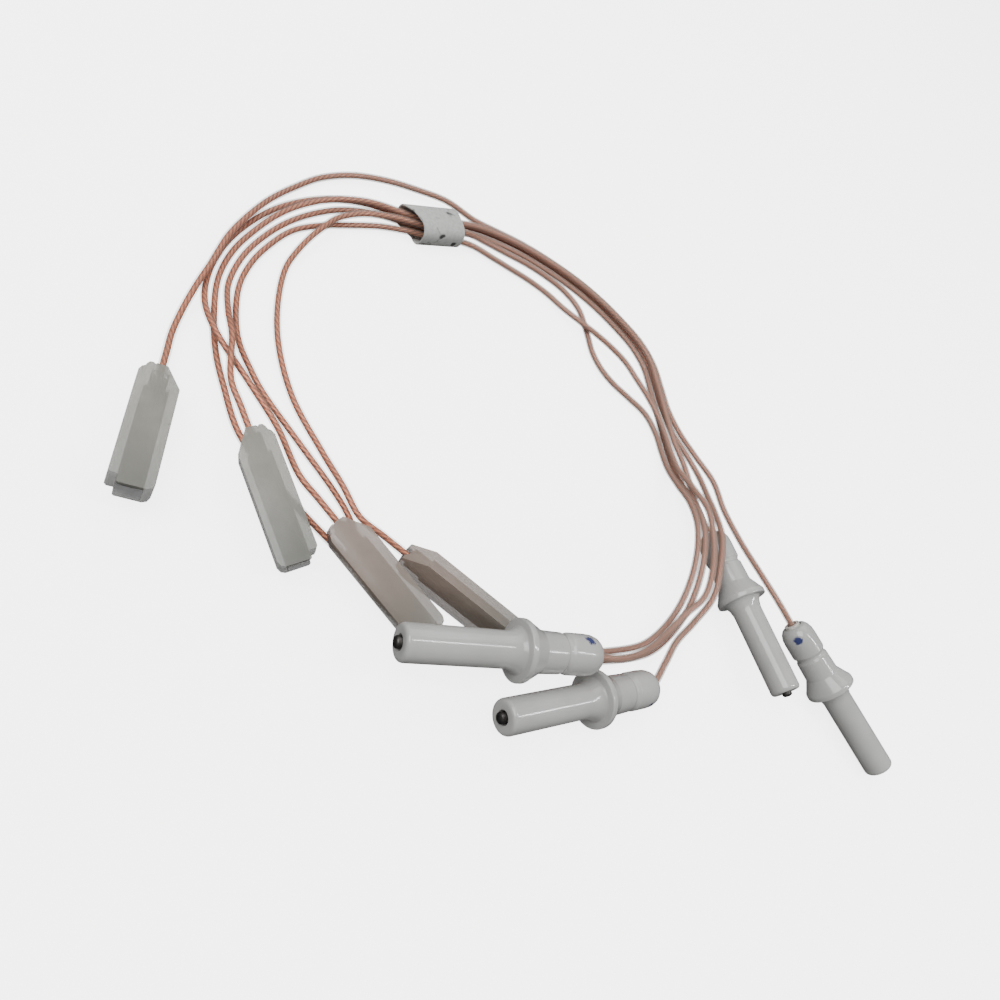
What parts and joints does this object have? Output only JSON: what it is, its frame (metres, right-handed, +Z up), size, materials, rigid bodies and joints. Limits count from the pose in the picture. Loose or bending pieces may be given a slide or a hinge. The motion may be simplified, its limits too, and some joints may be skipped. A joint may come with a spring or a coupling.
{
  "type": "ignition electrode set",
  "caption": "Ceramic ignition electrodes with steel pins, each on a long clear-jacketed lead ending in a sleeved push-on receptacle, in one loose ring with a paper label.",
  "frame": {"origin": "middle of the footprint of the four ceramic electrodes, on the flat surface that the set lies on", "axes": "+Z up from that surface; +X along the longer side of the electrodes' footprint, towards the electrode whose tail points back into the ring; the ring of leads lies towards -X"},
  "size_m": [0.2001, 0.1471, 0.0193],
  "materials": {
    "glazed_ceramic": "glossy glazed white ceramic with an ink mark on some tails",
    "pin_steel": "dark heat-resisting steel",
    "tinned_steel": "plain tinned metal",
    "cement": "matt sealing cement",
    "clear_jacket": "clear flexible jacket showing the copper strands inside it",
    "bare_copper": "bare twisted copper strands",
    "milky_plastic": "milky translucent moulded plastic",
    "label_paper": null
  },
  "bodies": {
    "set": {"ceramic_body_1": "glazed_ceramic", "ceramic_body_2": "glazed_ceramic", "ceramic_body_3": "glazed_ceramic", "ceramic_body_4": "glazed_ceramic", "electrode_pin_1": "pin_steel", "electrode_pin_2": "pin_steel", "electrode_pin_3": "pin_steel", "electrode_pin_4": "pin_steel", "crimp_ferrule_1": "tinned_steel", "crimp_ferrule_2": "tinned_steel", "crimp_ferrule_3": "tinned_steel", "crimp_ferrule_4": "tinned_steel", "tail_seal_1": "cement", "tail_seal_2": "cement", "tail_seal_3": "cement", "tail_seal_4": "cement", "lead_1": "clear_jacket", "lead_2": "clear_jacket", "lead_3": "clear_jacket", "lead_4": "clear_jacket", "receptacle_1": "tinned_steel", "receptacle_2": "tinned_steel", "receptacle_3": "tinned_steel", "receptacle_4": "tinned_steel", "conductor_end_1": "bare_copper", "conductor_end_2": "bare_copper", "conductor_end_3": "bare_copper", "conductor_end_4": "bare_copper", "label_wrap": "label_paper"},
    "sleeve_1": {"terminal_sleeve_1": "milky_plastic"},
    "sleeve_2": {"terminal_sleeve_2": "milky_plastic"},
    "sleeve_3": {"terminal_sleeve_3": "milky_plastic"},
    "sleeve_4": {"terminal_sleeve_4": "milky_plastic"}
  },
  "joints": [
    {"name": "sleeve_slide_1", "type": "slide", "parent": "set", "child": "sleeve_1", "axis": [-0.9681, -0.2504, 0], "range_m": [0, 0.006]},
    {"name": "sleeve_slide_2", "type": "slide", "parent": "set", "child": "sleeve_2", "axis": [-1, 0, 0], "range_m": [0, 0.006]},
    {"name": "sleeve_slide_3", "type": "slide", "parent": "set", "child": "sleeve_3", "axis": [-0.9397, 0.342, 0], "range_m": [0, 0.006]},
    {"name": "sleeve_slide_4", "type": "slide", "parent": "set", "child": "sleeve_4", "axis": [-0.657, 0.7425, -0.1305], "range_m": [0, 0.006]}
  ]
}
